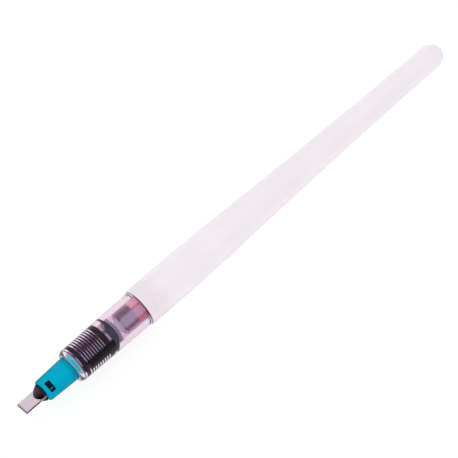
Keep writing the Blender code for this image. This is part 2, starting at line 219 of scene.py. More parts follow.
def cut(obj, cutters):
    """Cuts each cutter from the object for good, and removes the cutters."""
    for cutter in cutters:
        modifier = obj.modifiers.new("cut", "BOOLEAN")
        modifier.object = cutter
        modifier.operation = "DIFFERENCE"
        modifier.solver = "EXACT"
    graph = bpy.context.evaluated_depsgraph_get()
    mesh = bpy.data.meshes.new_from_object(obj.evaluated_get(graph))
    obj.modifiers.clear()
    obj.data = mesh
    mesh.shade_smooth()
    mesh.set_sharp_from_angle(angle=SMOOTH_ANGLE)
    for cutter in cutters:
        bpy.data.objects.remove(cutter, do_unlink=True)


THREAD_PITCH = 1.5
THREAD_WIDTH = 0.5  # of its rib


def thread_rib(name, z0, turns, r_root, r_crest, material, steps=64):
    """The right-handed rib of a thread, with closed ends."""
    bm = bmesh.new()
    chamfer = THREAD_WIDTH / 5
    section = ((0, r_root), (chamfer, r_crest))
    section += ((THREAD_WIDTH - chamfer, r_crest), (THREAD_WIDTH, r_root))
    rings = []
    for i in range(round(steps * turns) + 1):
        angle = math.pi + 2 * math.pi * i / steps
        rise = z0 + THREAD_PITCH * i / steps
        rings.append([bm.verts.new(at(rise + z, r, angle)) for z, r in section])
    skin(bm, rings)
    return new_object(name, bm, [material])


# ------------------------------------------------------------- materials


class Nodes:
    """A new material's node tree, with the few helpers that the materials share."""

    def __init__(self, name):
        self.material = bpy.data.materials.new(name)
        self.material.use_nodes = True
        self.tree = self.material.node_tree
        self.shader = self.tree.nodes["Principled BSDF"]
        self.output = self.tree.nodes["Material Output"]
        self.coords = self.add("ShaderNodeTexCoord").outputs["Object"]

    def add(self, kind, **values):
        node = self.tree.nodes.new(kind)
        for key, value in values.items():
            setattr(node, key, value)
        return node

    def link(self, a, b):
        self.tree.links.new(a, b)

    def noise(self, x, y, z, detail=3.0):
        """Noise with x, y and z waves in a metre along each axis."""
        mapping = self.add("ShaderNodeMapping")
        mapping.inputs["Scale"].default_value = (x, y, z)
        self.link(self.coords, mapping.inputs["Vector"])
        node = self.add("ShaderNodeTexNoise")
        node.inputs["Scale"].default_value = 1.0
        node.inputs["Detail"].default_value = detail
        node.inputs["Roughness"].default_value = 0.55
        self.link(mapping.outputs["Vector"], node.inputs["Vector"])
        return node.outputs["Fac"]

    def ramp(self, value, stops):
        """stops lists (position, colour) with sRGB 0 to 255, or a plain grey number 0 to 1."""
        node = self.add("ShaderNodeValToRGB")
        elements = node.color_ramp.elements
        while len(elements) < len(stops):
            elements.new(0.5)
        for element, (position, colour) in zip(elements, stops):
            element.position = position
            element.color = linear(colour)
        self.link(value, node.inputs["Fac"])
        return node.outputs["Color"]

    def ramp_mm(self, value, stops):
        """As ramp(), with the stops' positions in millimetres."""
        first, length = stops[0][0], stops[-1][0] - stops[0][0]
        place = self.math("MULTIPLY_ADD", value, 1 / length, -first / length)
        return self.ramp(place, [((z - first) / length, colour) for z, colour in stops])

    def by_turn(self, bands):
        """Colour from (turn in degrees, colour) bands round the axis."""
        return self.ramp(self.around(), [(0.5 + turn / 360, colour) for turn, colour in bands])

    def mottle(self, value, colour, low, high):
        """The colour times low to high, as the noise value goes."""
        return self.ramp(value, ((0.3, shade(colour, low)), (0.7, shade(colour, high))))

    def between(self, value, low, high):
        node = self.add("ShaderNodeMapRange")
        node.inputs["To Min"].default_value = low
        node.inputs["To Max"].default_value = high
        self.link(value, node.inputs["Value"])
        return node.outputs["Result"]

    def math(self, operation, *values):
        node = self.add("ShaderNodeMath", operation=operation)
        for socket, value in zip(node.inputs, values):
            if isinstance(value, (int, float)):
                socket.default_value = value
            else:
                self.link(value, socket)
        return node.outputs["Value"]

    def axial(self):
        """Distance from the nib's tip along the pen, in millimetres."""
        split = self.add("ShaderNodeSeparateXYZ")
        self.link(self.coords, split.inputs[0])
        return self.math("MULTIPLY", self.math("SUBTRACT", split.outputs["X"], TIP), 1 / MM)

    def around(self):
        """The turn about the pen's axis, as 0 to 1 for -180 to 180 degrees."""
        split = self.add("ShaderNodeSeparateXYZ")
        self.link(self.coords, split.inputs[0])
        across = self.math("MULTIPLY", split.outputs["Y"], -1.0)
        up = self.math("SUBTRACT", split.outputs["Z"], AXIS_Z)
        turn = self.math("ARCTAN2", across, up)
        return self.math("MULTIPLY_ADD", turn, 1 / (2 * math.pi), 0.5)

    def mixed(self, factor, first, second, **values):
        """A colour mix of two sockets or linear colours."""
        node = self.add("ShaderNodeMix", data_type="RGBA", **values)
        for index, value in ((0, factor), (6, first), (7, second)):
            if isinstance(value, (int, float, tuple)):
                node.inputs[index].default_value = value
            else:
                self.link(value, node.inputs[index])
        return node.outputs[2]

    def bump(self, height, distance):
        node = self.add("ShaderNodeBump")
        node.inputs["Distance"].default_value = distance * MM
        node.inputs["Strength"].default_value = 1.0
        self.link(height, node.inputs["Height"])
        self.link(node.outputs["Normal"], self.shader.inputs["Normal"])

    def set(self, **values):
        for name, value in values.items():
            self.shader.inputs[name.replace("_", " ")].default_value = value


def linear(colour):
    if isinstance(colour, (int, float)):
        return (colour, colour, colour, 1.0)
    parts = [c / 255 for c in colour]
    return (*[p / 12.92 if p <= 0.04045 else ((p + 0.055) / 1.055) ** 2.4 for p in parts], 1.0)


def shade(colour, factor):
    return tuple(min(255, c * factor) for c in colour)


def plastic(name, colour, vary, roughness, grain=900):
    """Moulded plastic: a slightly uneven colour and sheen, and a fine texture."""
    n = Nodes(name)
    cloud = n.noise(60, 160, 160, 4.0)
    n.link(n.mottle(cloud, colour, 1 - vary, 1 + vary), n.shader.inputs["Base Color"])
    fine = n.noise(grain, grain, grain)
    n.link(n.between(fine, *roughness), n.shader.inputs["Roughness"])
    n.bump(fine, 0.004)
    return n


def barrel_plastic():
    """Ivory, with painted shade towards its sides and in the grip grooves.

    The grooves' painted shade fades from the second millimetre behind the first groove on.
    """
    n = plastic("barrel_ivory", BARREL_COLOUR, vary=0.012, roughness=(0.34, 0.46))
    ivory = n.shader.inputs["Base Color"].links[0].from_socket
    along = n.axial()
    from_first = n.math("SUBTRACT", along, GROOVE_FIRST)
    wave = n.math("COSINE", n.math("MULTIPLY", from_first, 2 * math.pi / GROOVE_PITCH))
    shown = n.ramp_mm(along, ((GROOVE_FIRST + 2, 1.0), (GROOVE_FIRST + 8, 0.0)))
    # Painted shade in the grip grooves, deepest at each groove's middle
    depth = n.math("MULTIPLY", shown, n.math("MULTIPLY_ADD", wave, 0.425, 0.575))
    groove_shaded = n.mixed(depth, ivory, linear(GROOVE_SHADE_COLOUR))
    # Painted shade towards the barrel's sides, by turn about the axis
    sides = n.by_turn(BARREL_SHADE_BANDS)
    n.link(n.mixed(1.0, groove_shaded, sides, blend_type="MULTIPLY"), n.shader.inputs["Base Color"])
    n.set(Specular_IOR_Level=0.3)
    return n.material


def collar_plastic():
    """Turquoise, with painted shade towards its sides and rear and on its front face, and painted
    light where it enters the section's clear lip."""
    n = plastic("collar_turquoise", COLLAR_COLOUR, vary=0.05, roughness=(0.26, 0.4))
    along = n.axial()
    # Painted shade towards the rear, and by turn towards the sides
    rear = n.ramp_mm(along, ((COLLAR_ROUND - 2.4, 1.0), (COLLAR_ROUND - 0.05, 0.62)))
    side = n.mixed(1.0, n.by_turn(COLLAR_SHADE_BANDS), rear, blend_type="MULTIPLY")
    # Painted shade on the front face
    face = n.math("LESS_THAN", along, COLLAR_FRONT + 0.02)
    # Painted light where the clear lip covers it: paler than the plastic
    spigot = n.math("GREATER_THAN", along, COLLAR_ROUND + 0.35)
    shown = n.mixed(spigot, n.mixed(face, side, linear(COLLAR_FACE_SHADE)), linear(SPIGOT_PAINTED_LIGHT))
    n.link(shown, n.shader.inputs["Base Color"])
    n.set(Specular_IOR_Level=0.03)
    return n.material


def dark_plastic_nodes(name, colour, roughness=(0.35, 0.5)):
    """Plastic with a soft sheen and an uneven colour."""
    n = plastic(name, colour, vary=0.18, roughness=roughness, grain=1400)
    n.set(Specular_IOR_Level=0.12)
    return n


def dark_plastic(name, colour):
    return dark_plastic_nodes(name, colour).material


def painted_glow(name, colour, strength):
    """Milky plastic with a painted glow, standing in for the light it passes on from behind."""
    n = dark_plastic_nodes(name, colour)
    n.set(Emission_Color=linear(colour), Emission_Strength=strength)
    return n.material


def nipple_plastic():
    """A mauve flange with a dark rear edge, and a paler tube behind it, both with a painted
    glow that is stronger on the tube.
    """
    n = dark_plastic_nodes("nipple_pale", NIPPLE_COLOUR)
    along = n.axial()
    stops = (
        (FLANGE_STEP + 0.02, NIPPLE_COLOUR),
        (FLANGE_STEP + 0.12, NIPPLE_EDGE_COLOUR),
        (FLANGE_REAR - 0.08, NIPPLE_EDGE_COLOUR),
        (FLANGE_REAR, MOUTH_COLOUR),
    )
    colour = n.ramp_mm(along, stops)
    n.link(colour, n.shader.inputs["Base Color"])
    # Painted glow, weak on the flange and stronger on the tube
    n.link(colour, n.shader.inputs["Emission Color"])
    tube = n.math("GREATER_THAN", along, FLANGE_REAR - 0.04)
    n.link(n.math("MULTIPLY_ADD", tube, 0.4, 0.15), n.shader.inputs["Emission Strength"])
    return n.material


def coloured_by_turn(name, bands, roughness=(0.35, 0.5)):
    """Plastic whose colour follows bands round the axis."""
    n = dark_plastic_nodes(name, bands[0][1], roughness)
    n.link(n.by_turn(bands), n.shader.inputs["Base Color"])
    return n.material


def clamp_plastic():
    """The dome's dark plastic, with painted light and shade round its axis, and a painted
    shadow where it meets the collar.
    """
    n = dark_plastic_nodes("clamp_dark", DOME_SHADE_BANDS[0][1])
    # Painted shadow in the gap to the collar
    rear = n.ramp_mm(n.axial(), ((DOME_REAR - 1.1, 0.0), (DOME_REAR - 0.55, 1.0)))
    shades = n.mixed(rear, n.by_turn(DOME_SHADE_BANDS), linear(DOME_GAP_SHADOW))
    n.link(shades, n.shader.inputs["Base Color"])
    n.set(Specular_IOR_Level=0.03)
    return n.material


def steel_face():
    """Rolled sheet: fine lines along the pen, and darker stains."""
    n = Nodes("nib_steel")
    lines = n.noise(150, 9000, 9000, 4.0)
    blotch = n.noise(500, 500, 500)
    mixed = n.math("ADD", n.math("MULTIPLY", lines, 0.6), n.math("MULTIPLY", blotch, 0.4))
    n.link(n.mottle(mixed, STEEL_COLOUR, 0.95, 1.05), n.shader.inputs["Base Color"])
    n.link(n.between(mixed, 0.22, 0.4), n.shader.inputs["Roughness"])
    n.bump(lines, 0.006)
    n.set(Metallic=1.0)
    return n.material


def steel_edge():
    """Sheared edge of the sheet: dark ahead of the clamp, bright inside it."""
    n = Nodes("nib_edge")
    blotch = n.noise(400, 900, 900)
    place = n.math("ADD", n.axial(), n.between(blotch, -0.4, 0.4))
    bright = shade(STEEL_COLOUR, 0.86)
    stops = ((DOME_FRONT + 0.45, EDGE_COLOUR), (DOME_FRONT + 1.05, bright))
    n.link(n.ramp_mm(place, stops), n.shader.inputs["Base Color"])
    n.link(n.between(blotch, 0.4, 0.6), n.shader.inputs["Roughness"])
    n.set(Metallic=0.6, Specular_IOR_Level=0.2)
    return n.material


def clear_plastic(name, tint, clearness=1.0):
    """Clear moulded plastic. Lamps pass it as a tint, so that what it holds is lit."""
    n = Nodes(name)
    flow = n.noise(120, 500, 500, 2.0)
    n.link(n.between(flow, 0.0, 0.03), n.shader.inputs["Roughness"])
    n.link(n.mottle(flow, tint, 0.985, 1.0), n.shader.inputs["Base Color"])
    n.bump(flow, 0.01)
    n.set(Transmission_Weight=clearness, IOR=1.49, Specular_Tint=linear(0.1))
    shadow = n.add("ShaderNodeBsdfTransparent")
    shadow.inputs["Color"].default_value = linear(0.96)
    path = n.add("ShaderNodeLightPath")
    mix = n.add("ShaderNodeMixShader")
    n.link(path.outputs["Is Shadow Ray"], mix.inputs["Fac"])
    n.link(n.shader.outputs["BSDF"], mix.inputs[1])
    n.link(shadow.outputs["BSDF"], mix.inputs[2])
    n.link(mix.outputs["Shader"], n.output.inputs["Surface"])
    return n.material


def cartridge_plastic():
    """Smoky plastic, stained by the ink behind its wall from INK_LEVEL on, with painted
    reflections and shade round it and a painted glow.
    """
    n = Nodes("cartridge_grey")
    streak = n.noise(40, 700, 700)
    level = n.math("ADD", n.axial(), n.between(streak, -0.5, 0.5))
    blend = n.add("ShaderNodeMapRange", interpolation_type="SMOOTHSTEP")
    blend.inputs["From Min"].default_value = INK_LEVEL - 0.3
    blend.inputs["From Max"].default_value = INK_LEVEL + 0.7
    n.link(level, blend.inputs["Value"])
    inked = blend.outputs["Result"]
    # Painted reflections and shade round the cartridge, before and after the ink
    colour = n.mixed(inked, n.by_turn(EMPTY_SHADE_BANDS), n.by_turn(INKED_SHADE_BANDS))
    n.link(colour, n.shader.inputs["Base Color"])
    # Painted glow, stronger where inked
    n.link(colour, n.shader.inputs["Emission Color"])
    glow = n.math("MULTIPLY_ADD", inked, 0.1, 0.06)
    n.link(glow, n.shader.inputs["Emission Strength"])
    n.link(n.between(streak, 0.25, 0.4), n.shader.inputs["Roughness"])
    n.bump(streak, 0.008)
    n.set(Specular_IOR_Level=0.15, IOR=1.45)
    return n.material


def ink_material():
    n = Nodes("ink_red")
    swirl = n.noise(120, 260, 260, 4.0)
    n.link(n.mottle(swirl, INK_COLOUR, 0.75, 1.2), n.shader.inputs["Base Color"])
    n.link(n.between(swirl, 0.03, 0.12), n.shader.inputs["Roughness"])
    n.set(IOR=1.35)
    return n.material


def paper_floor():
    n = Nodes("studio_floor")
    cloud = n.noise(3, 3, 3, 2.0)
    n.link(n.ramp(cloud, ((0.2, 0.14), (0.8, 0.16))), n.shader.inputs["Base Color"])
    n.link(n.between(cloud, 0.85, 0.95), n.shader.inputs["Roughness"])
    n.set(Specular_IOR_Level=0.1, Emission_Color=(1, 1, 1, 1), Emission_Strength=0.88)
    return n.material


# sRGB colours. A list of BANDS holds (turn in degrees from straight up towards -Y, colour
# or grey) round the pen's axis.
BARREL_COLOUR = (250, 241, 247)
# Painted shade in the grip grooves
GROOVE_SHADE_COLOUR = (236, 226, 232)
# Painted shade towards the barrel's sides
BARREL_SHADE_BANDS = (
    (-180, 1.0),
    (-80, 1.0),
    (-58, 0.86),
    (-46, 0.88),
    (-34, 0.96),
    (-10, 0.965),
    (20, 1.0),
    (84, 1.0),
    (98, 0.96),
    (110, 0.88),
    (122, 0.85),
    (144, 1.0),
    (180, 1.0),
)
COLLAR_COLOUR = (0, 165, 196)
# Painted shade on the collar's front face
COLLAR_FACE_SHADE = (8, 62, 72)
# Painted light on the collar where the clear lip covers it
SPIGOT_PAINTED_LIGHT = (0, 236, 250)
# Painted shade towards the collar's sides
COLLAR_SHADE_BANDS = (
    (-180, (0, 158, 190)),
    (-52, (0, 140, 160)),
    (-34, (0, 150, 172)),
    (-18, (0, 168, 204)),
    (0, (0, 169, 206)),
    (32, (0, 178, 212)),
    (68, (0, 165, 204)),
    (84, (0, 160, 196)),
    (98, (0, 146, 172)),
    (114, (0, 138, 162)),
    (180, (0, 158, 190)),
)
STEEL_COLOUR = (201, 187, 198)
EDGE_COLOUR = (64, 50, 60)
FIN_COLOUR = (48, 41, 52)
BOSS_COLOUR = (166, 164, 172)
KEEL_BANDS = (
    (-180, (8, 3, 10)),
    (76, (8, 3, 10)),
    (86, (44, 28, 42)),
    (180, (44, 28, 42)),
)
# Painted light and shade round the dome's axis
DOME_SHADE_BANDS = (
    (-180, (114, 74, 88)),
    (-60, (84, 70, 86)),
    (0, (74, 58, 74)),
    (20, (66, 38, 48)),
    (40, (58, 26, 34)),
    (49, (12, 3, 6)),
    (90, (10, 3, 6)),
    (110, (114, 78, 92)),
    (180, (114, 74, 88)),
)
# Painted shadow where the dome meets the collar
DOME_GAP_SHADOW = (20, 44, 50)
# Between the fins: painted light and shade, pale where light falls and dark where shade lies
CORE_SHADE_BANDS = (
    (-180, (100, 80, 92)),
    (-90, (212, 190, 206)),
    (-14, (212, 190, 206)),
    (0, (124, 104, 120)),
    (14, (140, 122, 138)),
    (24, (214, 214, 232)),
    (50, (216, 218, 236)),
    (62, (60, 44, 56)),
    (130, (60, 44, 56)),
    (180, (100, 80, 92)),
)
# The same painted light and shade in the gap ahead of the rear disc
GAP_SHADE_BANDS = (
    (-180, (100, 80, 92)),
    (-90, (238, 220, 236)),
    (-2, (238, 218, 234)),
    (8, (150, 134, 152)),
    (18, (150, 138, 156)),
    (26, (214, 216, 234)),
    (50, (218, 222, 240)),
    (60, (60, 44, 56)),
    (180, (100, 80, 92)),
)
# Painted light and shade round the joint ring
RING_SHADE_BANDS = (
    (-180, (190, 170, 182)),
    (-60, (206, 186, 198)),
    (-18, (196, 172, 184)),
    (-4, (150, 64, 82)),
    (20, (156, 62, 82)),
    (31, (180, 50, 76)),
    (42, (110, 50, 72)),
    (66, (72, 34, 52)),
    (80, (68, 32, 50)),
    (94, (170, 150, 162)),
)
INK_LEVEL = 44.2  # mm from the tip, where the ink's stain starts on the cartridge
# Painted reflections and shade round the cartridge before the ink
EMPTY_SHADE_BANDS = (
    (-180, (150, 130, 150)),
    (-46, (210, 180, 191)),
    (-20, (196, 163, 175)),
    (-4, (139, 126, 141)),
    (10, (141, 130, 145)),
    (22, (199, 198, 210)),
    (52, (200, 202, 212)),
    (63, (141, 123, 146)),
    (72, (160, 131, 152)),
    (84, (226, 200, 218)),
    (120, (228, 208, 222)),
    (180, (150, 130, 150)),
)
# The same painted reflections and shade from the ink on
INKED_SHADE_BANDS = (
    (-180, (170, 100, 115)),
    (-46, (248, 216, 224)),
    (-20, (250, 204, 208)),
    (6, (250, 204, 208)),
    (14, (214, 150, 166)),
    (24, (234, 198, 213)),
    (50, (232, 198, 215)),
    (62, (214, 138, 158)),
    (80, (214, 144, 160)),
    (92, (224, 186, 202)),
    (120, (214, 190, 206)),
    (180, (170, 100, 115)),
)
# The cartridge rim and mouth ring, which also get a painted glow
RIM_COLOUR = (170, 174, 180)
MOUTH_COLOUR = (174, 182, 188)
INK_COLOUR = (190, 50, 70)
CLEAR_TINT = (235, 216, 232)
LIP_TINT = (246, 240, 247)
# The lip's flat face, which also gets a painted glow
LIP_FACE_COLOUR = (196, 196, 208)
NIPPLE_COLOUR = (170, 160, 176)
NIPPLE_EDGE_COLOUR = (88, 72, 94)
RIB_COLOUR = (82, 134, 164)
LATCH_COLOUR = (1, 18, 26)
DISC_COLOUR = (80, 78, 94)
FRONT_RING_COLOUR = (24, 60, 92)
# The front ring's face, which also gets a painted glow
FRONT_FACE_COLOUR = (198, 200, 212)


# ---------------------------------------------------------------- pieces


def put(obj, body, slot, *nodes):
    """Rides on a body and stands for CAD nodes. Its slot is not used."""
    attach(obj, body)
    if nodes:
        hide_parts(*nodes)


PLATE_HALF = 2.15
PLATE_THICK = 0.35
PLATE_GAP = 0.05  # from the axis to a plate
PLATE_REAR = 14.4
NOTCHES = 5
NOTCH_PITCH = 0.78
NOTCH_HALF = 0.23
NOTCH_DEEP = 0.35  # to the start of its round end


def plate_outline():
    """(z, across) points of a plate with rounded notches in its tip."""
    points = []
    for i in range(NOTCHES):
        middle = (i - (NOTCHES - 1) / 2) * NOTCH_PITCH
        points.append((0.0, middle - NOTCH_HALF))
        for k in range(7):
            a = math.pi * k / 6
            place = (NOTCH_DEEP + NOTCH_HALF * math.sin(a), middle - NOTCH_HALF * math.cos(a))
            points.append(place)
        points.append((0.0, middle + NOTCH_HALF))
    corner = 0.12
    front = [(corner, -PLATE_HALF), (0.0, -PLATE_HALF + corner)]
    back = [(0.0, PLATE_HALF - corner), (corner, PLATE_HALF)]
    return [*front, *points, *back, (PLATE_REAR, PLATE_HALF), (PLATE_REAR, -PLATE_HALF)]


def nib_plate(name, low, high, node, face, edge):
    """A plate of bright sheet whose sheared sides and notches are dark."""
    outline = plate_outline()
    bm = block_mesh(outline, low, high)
    bm.faces.ensure_lookup_table()
    for k, (z, _) in enumerate(outline):
        at_tip = z == outline[(k + 1) % len(outline)][0] == 0.0
        bm.faces[k + 2].material_index = 0 if at_tip else 1  # after the two flat faces
    plate = new_object(name, bm, [face, edge])
    round_edges(plate, 0.03)
    put(plate, "nib_unit", "nib_steel", node)


DOME_FRONT = 5.15
DOME_RUN = 2.75  # along the pen, from its nose to its full radius
DOME_R = 2.98
DOME_REAR = 8.25
DOME_FLAT = 2.19  # from the axis to the flat over the plates' edges
CLAMP_R = 2.15  # inside the collar
CLAMP_REAR = 18.3


def dome_profile():
    """A pointed nose, close to a parabola, and the shank behind it."""
    count = 18
    nose = [
        (DOME_FRONT + DOME_RUN * (k / count) ** 2, DOME_R * (k / count) ** 0.98)
        for k in range(count + 1)
    ]
    rear = [(DOME_REAR - 0.1, DOME_R), (DOME_REAR - 0.05, DOME_R - 0.08), (DOME_REAR, CLAMP_R)]
    shank = [(CLAMP_REAR - 0.05, CLAMP_R), (CLAMP_REAR, CLAMP_R - 0.1), (CLAMP_REAR, 0.0)]
    return [*nose, *rear, *shank]


def nib_clamp(name, sign, node, material):
    """Half a dome. sign is 1 on top and -1 below."""
    bm = lathe_mesh(dome_profile(), steps=96)
    seat = PLATE_GAP + PLATE_THICK + 0.02
    planes = [(0, sign * seat, (0, 0, -sign))]
    planes += [(side * DOME_FLAT, 0, (0, side, 0)) for side in (1, -1)]
    for across, out, normal in planes:
        edges = bmesh.ops.bisect_plane(
            bm,
            geom=[*bm.verts, *bm.edges, *bm.faces],
            plane_co=offset(0, across, out),
            plane_no=Vector(normal),
            clear_outer=True,
        )["geom_cut"]
        edges = [e for e in edges if isinstance(e, bmesh.types.BMEdge)]
        bmesh.ops.contextual_create(bm, geom=edges)
    clamp = new_object(name, bm, [material])
    round_edges(clamp, 0.06)
    put(clamp, "nib_unit", "feed_black", node)


LATCH_TURN = math.radians(37.0)
WINDOW_FRONT = 9.55
WINDOW_REAR = 11.45
WINDOW_HALF = 1.77
WINDOW_MIDDLE = (WINDOW_FRONT + WINDOW_REAR) / 2
LATCH_GAP = 0.12  # to the window's sides
LATCH_OUT = (1.6, 2.72)
RIB_ACROSS = -0.72
RIB_OUT = 2.6
RIB_SIZE = (1.15, 0.3, 0.5)


def latch(name, turn, material, rib_material):
    """The dark latch seen in a window, with a pale rib beside it."""
    low, high = LATCH_OUT
    length = WINDOW_REAR - WINDOW_FRONT - 2 * LATCH_GAP
    size = (length, 2 * (WINDOW_HALF - LATCH_GAP), high - low)
    block = box_mesh((WINDOW_MIDDLE, 0.0, (low + high) / 2), size, turn, bevel=0.12)
    put(new_object(name, block, [material]), "nib_unit", "feed_black")
    rib = box_mesh((WINDOW_MIDDLE, RIB_ACROSS, RIB_OUT), RIB_SIZE, turn, bevel=0.07)
    put(new_object(name + "_rib", rib, [rib_material]), "nib_unit", "feed_black")


COLLAR_FRONT = 8.3
COLLAR_BEVEL = 0.2
COLLAR_SLANT = 0.2  # how far the sides of the front edge stand back
COLLAR_ROUND = 19.4
COLLAR_REAR = 20.9
COLLAR_BORE = 2.35
COLLAR_R = 4.04
COLLAR_HALF_HEIGHT = 3.05  # at the front
COLLAR_HALF_WIDTH = 3.9


def collar_radii(z):
    """Half-height and half-width of the collar at z."""
    t = min((z - COLLAR_FRONT) / (COLLAR_ROUND - COLLAR_FRONT), 1.0)
    blend = t * (1.5 - 0.5 * t)
    height = COLLAR_HALF_HEIGHT + (COLLAR_R - COLLAR_HALF_HEIGHT) * blend
    return height, COLLAR_HALF_WIDTH + (COLLAR_R - COLLAR_HALF_WIDTH) * t


def collar_ring(bm, z, inset):
    height, width = collar_radii(z)
    ring = []
    for k in range(STEPS):
        a = 2 * math.pi * k / STEPS
        across, out = (width + inset) * math.sin(a), (height + inset) * math.cos(a)
        back = COLLAR_SLANT * math.sin(a) ** 2 if z < COLLAR_FRONT + 0.7 else 0.0
        ring.append(bm.verts.new(offset(z + back, across, out)))
    return ring


def collar_mesh():
    """Oval at the front, round at the rear, bored through, with a bevelled front edge."""
    bevel = COLLAR_BEVEL
    stations = [(COLLAR_FRONT, -bevel - 0.1), (COLLAR_FRONT + 0.03, -bevel - 0.03)]
    stations += [(COLLAR_FRONT + 0.1, -bevel + 0.02), (COLLAR_FRONT + 2 * bevel - 0.08, -0.05)]
    stations.append((COLLAR_FRONT + 2 * bevel + 0.08, -0.005))
    start, count = COLLAR_FRONT + 2 * bevel + 0.3, 24
    for i in range(count + 1):
        stations.append((start + (COLLAR_ROUND - 0.1 - start) * i / count, 0.0))
    stations += [(COLLAR_ROUND - 0.03, -0.02), (COLLAR_ROUND, -0.08)]
    stations += [(COLLAR_REAR - 0.2, -0.1), (COLLAR_REAR, -0.3)]
    bm = bmesh.new()
    rings = [collar_ring(bm, z, inset) for z, inset in stations]
    for z in (COLLAR_REAR, COLLAR_FRONT):
        turns = [-2 * math.pi * k / STEPS for k in range(STEPS)]
        rings.append([bm.verts.new(at(z, COLLAR_BORE, turn)) for turn in turns])
    skin(bm, rings, looped=True)
    return bm


def window_outline():
    """(z, across) points of a window with rounded corners."""
    points = []
    radius, count = 0.4, 6
    for corner in range(4):
        z = WINDOW_REAR - radius if corner in (0, 1) else WINDOW_FRONT + radius
        across = (WINDOW_HALF - radius) * (1 if corner in (1, 2) else -1)
        for k in range(count + 1):
            a = math.pi / 2 * (corner - 1 + k / count)
            points.append((z + radius * math.cos(a), across + radius * math.sin(a)))
    return points


def nib_collar(material):
    """The collar with its two windows cut through."""
    collar = new_object("collar", collar_mesh(), [material])
    cutters = []
    for turn in (LATCH_TURN, LATCH_TURN + math.pi):
        window = block_mesh(window_outline(), 2.0, 6.0, turn)
        cutters.append(new_object("window_cutter", window, [material]))
    cut(collar, cutters)
    put(collar, "nib_unit", "collar_turquoise", "nib_collar")


SPIGOT_FRONT = 18.4
SPIGOT_R = 2.25
STEM_BORE = 1.1
COLLECTOR_R = 4.27  # the fins' rims touch the clear bore, wet with ink
CORE_R = 3.95
FRONT_RING = (21.05, 21.3)
FRONT_FLANGE = (21.8, 23.25)
FIN_FRONT = 23.68
FIN_PITCH = 0.919
FIN_THICK = 0.54
FINS = 8
REAR_FLANGE = (31.03, 32.95)
DISC = (33.87, 36.15)
KEEL_TURNS = (math.radians(58), math.radians(99))
KEEL_REAR_TURN = math.radians(116)  # behind the fins
KEEL_RIB_R = 4.285
KEEL_GROOVE_R = 4.277
KEEL_INSIDE_R = 3.6
RECESS_TURNS = (math.radians(-93), math.radians(15))  # of the rear disc's front
RECESS_DEPTH = 1.15
BOSS_TURN = math.radians(-7.5)
BOSS_Z = 34.6
BOSS_R = 0.8
DISC_SLOPES_FROM = math.radians(42)
DISC_SLOPE = 1.3


def collector_profile():
    """(z, r) points and a material number for each band.

    The numbers are 0 fins, 1 core, 2 rear disc, 3 and 4 front ring and its face, and 5 the gap
    ahead of the disc.
    """
    points = [(SPIGOT_FRONT, STEM_BORE), (SPIGOT_FRONT, SPIGOT_R), (FRONT_RING[0], SPIGOT_R)]
    slots = [0, 0, 4]
    starts = [FIN_FRONT + i * FIN_PITCH for i in range(FINS)]
    fins = [(start, start + FIN_THICK) for start in starts]
    rim = 0.03
    for front, rear in (FRONT_RING, FRONT_FLANGE, *fins, REAR_FLANGE):
        points += [(front, COLLECTOR_R - rim), (front + rim, COLLECTOR_R)]
        points += [(rear - rim, COLLECTOR_R), (rear, COLLECTOR_R - rim), (rear, CORE_R)]
        rim_slot = 3 if front == FRONT_RING[0] else 0
        slots += [rim_slot, rim_slot, rim_slot, rim_slot, 1]
        points.append((rear + 0.05, CORE_R))
        slots.append(5 if front == REAR_FLANGE[0] else 1)
    points += [(DISC[0], CORE_R), (DISC[0], COLLECTOR_R)]
    slots += [2, 2]
    points += [(DISC[1] - 0.3, COLLECTOR_R), (DISC[1], 3.9), (DISC[1], STEM_BORE)]
    slots += [2, 2, 2, 0]
    return points, slots


def ramp_between(value, low, high):
    """0 up to low, 1 from high, and smooth between."""
    t = min(max((value - low) / (high - low), 0.0), 1.0)
    return t * t * (3 - 2 * t)


def shape_disc(obj):
    """Sets the rear disc's front back round one side, and slopes its rear on the other."""
    for vert in obj.data.vertices:
        z = (vert.co.x - TIP) / MM
        if z < DISC[0] - 0.01:
            continue
        turn = math.atan2(-vert.co.y, vert.co.z - AXIS_Z)
        if z < DISC[0] + 0.01:
            opens = ramp_between(RECESS_TURNS[1] - turn, 0.0, math.radians(26))
            closes = ramp_between(turn - RECESS_TURNS[0], 0.0, math.radians(30))
            vert.co.x += RECESS_DEPTH * opens * closes * MM
        else:
            vert.co.x -= DISC_SLOPE * max(0.0, math.sin(turn - DISC_SLOPES_FROM)) ** 2 * MM


def ink_collector(materials, keel_material, boss_material):
    points, slots = collector_profile()
    body = lathe("collector", points, materials, closed=True, slots=slots)
    shape_disc(body)
    put(body, "nib_unit", "feed_black", "ink_collector")
    collector_keel(keel_material)
    vent_boss(boss_material)


def vent_boss(material):
    """A round, slightly domed boss in the rear disc's recess."""
    bm = bmesh.new()
    count = 32
    rings = []
    for radius, out in ((BOSS_R, 3.8), (BOSS_R, 4.08), (BOSS_R - 0.08, 4.16), (BOSS_R / 2, 4.2)):
        ring = []
        for k in range(count):
            a = 2 * math.pi * k / count
            z, across = BOSS_Z + radius * math.cos(a), radius * math.sin(a)
            ring.append(bm.verts.new(offset(z, across, out, BOSS_TURN)))
        rings.append(ring)
    skin(bm, rings)
    put(new_object("vent_boss", bm, [material]), "nib_unit", "feed_black")


